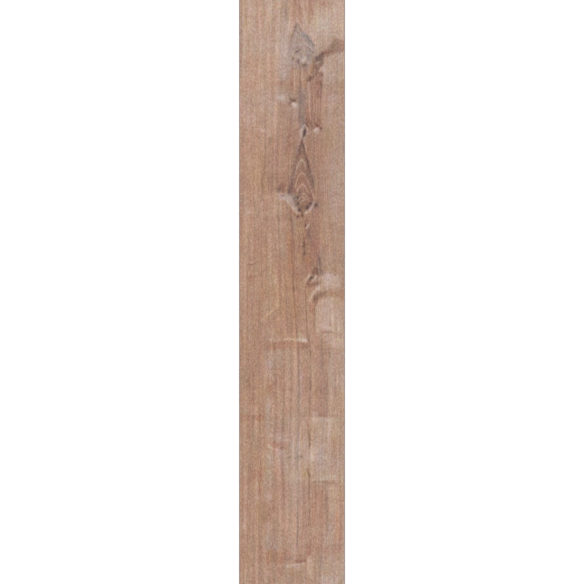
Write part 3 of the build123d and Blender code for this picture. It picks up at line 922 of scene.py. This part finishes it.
class Shader:
    """One material's nodes, added and linked a call at a time. Lengths are in millimetres."""

    def __init__(self, name):
        self.material = bpy.data.materials.new(name)
        self.material.use_nodes = True
        self.tree = self.material.node_tree
        self.tree.nodes.clear()

    def add(self, kind, inputs, **settings):
        """A node with its settings, whose inputs are sockets to link or values to set."""
        node = self.tree.nodes.new("ShaderNode" + kind)
        for name, value in settings.items():
            setattr(node, name, value)
        for name, value in inputs.items():
            if isinstance(value, bpy.types.NodeSocket):
                self.tree.links.new(value, node.inputs[name])
            else:
                node.inputs[name].default_value = value
        return node

    def attribute(self, name, output="Fac"):
        return self.add("Attribute", {}, attribute_name=name).outputs[output]

    def place(self):
        """Where a point is on the plank."""
        position = self.add("TexCoord", {}).outputs["Object"]
        return self.add("VectorMath", {0: position, 1: (1 / MM,) * 3}, operation="MULTIPLY").outputs[0]

    def math(self, operation, a, b):
        return self.add("Math", {0: a, 1: b}, operation=operation).outputs[0]

    def total(self, *values):
        result = values[0]
        for value in values[1:]:
            result = self.math("ADD", result, value)
        return result

    def noise(self, place, cell, gain, detail=2.0):
        """Noise about 0 with blots of that size in x, y and z, times a gain."""
        scaled = self.add("VectorMath", {0: place, 1: tuple(1 / c for c in cell)}, operation="MULTIPLY")
        blots = self.add("TexNoise", {"Vector": scaled.outputs[0], "Scale": 1.0, "Detail": detail})
        return self.math("MULTIPLY", self.math("SUBTRACT", blots.outputs["Fac"], 0.5), gain)

    def ramp(self, value, ends, stops):
        """Colour by value, from stops of value and linear colour between the two ends."""
        share = self.add("MapRange", {"Value": value, "From Min": ends[0], "From Max": ends[1]})
        node = self.add("ValToRGB", {"Fac": share.outputs[0]})
        elements = node.color_ramp.elements
        for index, (at, colour) in enumerate(stops):
            position = (at - ends[0]) / (ends[1] - ends[0])
            element = elements[index] if index < len(elements) else elements.new(position)
            element.position = position
            element.color = colour
        return node.outputs["Color"]

    def tint(self, colour, value, ends, low_tint, high_tint):
        """Colour times a tint that goes from the low one through none to the high one, by value."""
        stops = [(ends[0], (*low_tint, 1)), (0.0, (1, 1, 1, 1)), (ends[1], (*high_tint, 1))]
        mix_node = self.add("Mix", {}, data_type="RGBA", blend_type="MULTIPLY")
        factor, first, second = (s for s in mix_node.inputs if s.enabled)
        factor.default_value = 1.0
        self.tree.links.new(colour, first)
        self.tree.links.new(self.ramp(value, ends, stops), second)
        return next(s for s in mix_node.outputs if s.enabled)

    def surface(self, colour, roughness, height, depth, specular):
        """Closes the material with a matt shader that is rough and bumpy where the sockets say."""
        bump = self.add("Bump", {"Height": height, "Distance": depth * MM, "Strength": 1.0})
        inputs = {
            "Base Color": colour,
            "Roughness": roughness,
            "Normal": bump.outputs[0],
            "Specular IOR Level": specular,
        }
        shader = self.add("BsdfPrincipled", inputs)
        self.add("OutputMaterial", {"Surface": shader.outputs[0]})
        return self.material


def printed_face():
    """Print under a matt wear layer, with flecks, specks, threads, fibres and pores finer than the mesh."""
    s = Shader("printed_face")
    grain = s.attribute("grain", "Vector")
    flecks = s.noise(grain, (1.7, 6.0, 9.0), gain=1.3)
    specks = s.noise(grain, (2.3, 4.2, 9.0), gain=1.7, detail=0.0)
    threads = s.noise(grain, (2.0, 80.0, 9.0), gain=0.75)
    fibres = s.noise(grain, (0.45, 9.0, 9.0), gain=0.8)
    pores = s.math("MAXIMUM", s.noise(grain, (0.6, 7.0, 9.0), gain=4.0, detail=1.0), 0.5)
    dark_pores = s.math("MULTIPLY", pores, -0.4)
    tone = s.total(s.attribute("tone"), flecks, specks, threads, fibres, dark_pores, 0.2)
    warmth = s.total(s.attribute("warmth"), s.noise(grain, (6.5, 9.0, 9.0), gain=1.1))
    pink = s.total(s.attribute("pink"), s.noise(grain, (6.5, 8.0, 9.0), gain=2.4))
    colour = s.ramp(tone, TONE_RANGE, [(at, linear(srgb)) for at, srgb in TONES.items()])
    colour = s.tint(colour, warmth, WARMTH_RANGE, GREY_TINT, RED_TINT)
    colour = s.tint(colour, pink, PINK_RANGE, OLIVE_TINT, PINK_TINT)
    roughness = s.total(s.math("MULTIPLY", flecks, 0.12), s.math("MULTIPLY", pores, 0.12), 0.52)
    height = s.total(fibres, s.math("MULTIPLY", pores, -1.0), s.math("MULTIPLY", flecks, 0.6))
    return s.surface(colour, roughness, height, depth=0.05, specular=0.3)


def painted_bevel():
    """Bevel pressed through the print and painted a dull brown, worn paler here and there."""
    s = Shader("painted_bevel")
    place = s.place()
    wear = s.noise(place, (1.2, 6.0, 0.6), gain=1.6)
    tone = s.total(wear, s.math("MULTIPLY", s.attribute("tone"), 0.4))
    stops = [(-1.0, linear((90, 60, 42))), (0.0, linear((110, 76, 56))), (1.0, linear((133, 97, 76)))]
    colour = s.ramp(tone, (-1.0, 1.0), stops)
    roughness = s.total(s.math("MULTIPLY", wear, 0.15), 0.6)
    return s.surface(colour, roughness, wear, depth=0.03, specular=0.3)


def filled_edge():
    """Die-cut edge of the filled vinyl: beige-grey, speckled, with fine vertical cutting marks."""
    s = Shader("filled_edge")
    place = s.place()
    speckle = s.noise(place, (0.25, 0.25, 0.25), gain=1.4)
    cuts = s.noise(place, (0.35, 0.35, 6.0), gain=1.2)
    tone = s.total(speckle, cuts)
    stops = [(-1.0, linear((136, 127, 118))), (0.0, linear((163, 153, 143))), (1.0, linear((190, 181, 171)))]
    colour = s.ramp(tone, (-1.0, 1.0), stops)
    roughness = s.total(s.math("MULTIPLY", speckle, 0.1), 0.7)
    return s.surface(colour, roughness, tone, depth=0.06, specular=0.3)


def plain_back():
    """Calendered back: a beige-grey sheet with a fine pebbled texture and faint streaks from the rollers."""
    s = Shader("plain_back")
    place = s.place()
    pebbles = s.noise(place, (0.9, 0.9, 0.9), gain=1.6, detail=1.0)
    streaks = s.noise(place, (14.0, 160.0, 9.0), gain=1.0)
    speckle = s.noise(place, (0.3, 0.3, 0.3), gain=0.7)
    tone = s.total(pebbles, streaks, speckle)
    stops = [(-1.5, linear((142, 133, 124))), (0.0, linear((166, 157, 147))), (1.5, linear((188, 180, 171)))]
    colour = s.ramp(tone, (-1.5, 1.5), stops)
    roughness = s.total(s.math("MULTIPLY", pebbles, 0.1), 0.72)
    return s.surface(colour, roughness, pebbles, depth=0.12, specular=0.3)


def seen_directly(tree):
    """1 where the camera, a mirror or glass looks straight at the surface, and 0 for the light it sheds."""
    path = tree.nodes.new("ShaderNodeLightPath")
    seen = path.outputs["Is Camera Ray"]
    for ray in ("Is Glossy Ray", "Is Transmission Ray"):
        either = tree.nodes.new("ShaderNodeMath")
        either.operation = "MAXIMUM"
        tree.links.new(seen, either.inputs[0])
        tree.links.new(path.outputs[ray], either.inputs[1])
        seen = either.outputs[0]
    return seen


def studio_floor():
    """Pale matt floor that still takes the plank's shadow, lifted to white where it is seen."""
    pale = (0.8, 0.8, 0.8, 1)
    lift = 0.35
    s = Shader("studio_floor")
    matt = s.add("BsdfDiffuse", {"Color": pale})
    glow = s.add("Emission", {"Strength": s.math("MULTIPLY", seen_directly(s.tree), lift)})
    both = s.add("AddShader", {0: matt.outputs[0], 1: glow.outputs[0]})
    s.add("OutputMaterial", {"Surface": both.outputs[0]})
    return s.material


def make_floor():
    """White studio floor just under the plank."""
    half = 20.0
    drop = -0.1 * MM
    corners = [(-half, -half, drop), (half, -half, drop), (half, half, drop), (-half, half, drop)]
    mesh = bpy.data.meshes.new("floor")
    mesh.from_pydata(corners, [], [(0, 1, 2, 3)])
    mesh.materials.append(studio_floor())
    floor = bpy.data.objects.new("floor", mesh)
    bpy.context.scene.collection.objects.link(floor)


def make_light():
    """Soft white studio: an even dome, white where it is seen, and one broad lamp high on the left."""
    dome_level = 0.72
    world = bpy.data.worlds.new("studio")
    world.use_nodes = True
    tree = world.node_tree
    level = tree.nodes.new("ShaderNodeMapRange")
    level.inputs["To Min"].default_value = dome_level
    level.inputs["To Max"].default_value = 1.0
    tree.links.new(seen_directly(tree), level.inputs["Value"])
    tree.links.new(level.outputs[0], tree.nodes["Background"].inputs["Strength"])
    tree.nodes["Background"].inputs["Color"].default_value = (1, 1, 1, 1)
    bpy.context.scene.world = world

    lamp = bpy.data.lights.new("softbox", "AREA")
    lamp.shape = "DISK"
    lamp.size = 3.0
    lamp.energy = 44.0
    softbox = bpy.data.objects.new("softbox", lamp)
    softbox.location = (-1.2, 0.5, 4.2)
    softbox.rotation_euler = (-softbox.location).to_track_quat("-Z", "Y").to_euler()
    bpy.context.scene.collection.objects.link(softbox)


def make_camera():
    """Looks straight down on the middle of the plank, with the far end at the top of the picture."""
    data = bpy.data.cameras.new("camera")
    data.lens = LENS
    data.sensor_width = SENSOR
    camera = bpy.data.objects.new("camera", data)
    camera.location = (0.0, 0.0, (THICKNESS + SEEN_LENGTH * LENS / SENSOR) * MM)
    bpy.context.scene.collection.objects.link(camera)
    bpy.context.scene.camera = camera


make_plank([printed_face(), painted_bevel(), filled_edge(), plain_back()])
make_floor()
make_light()
make_camera()
bpy.context.scene.view_settings.view_transform = "Standard"
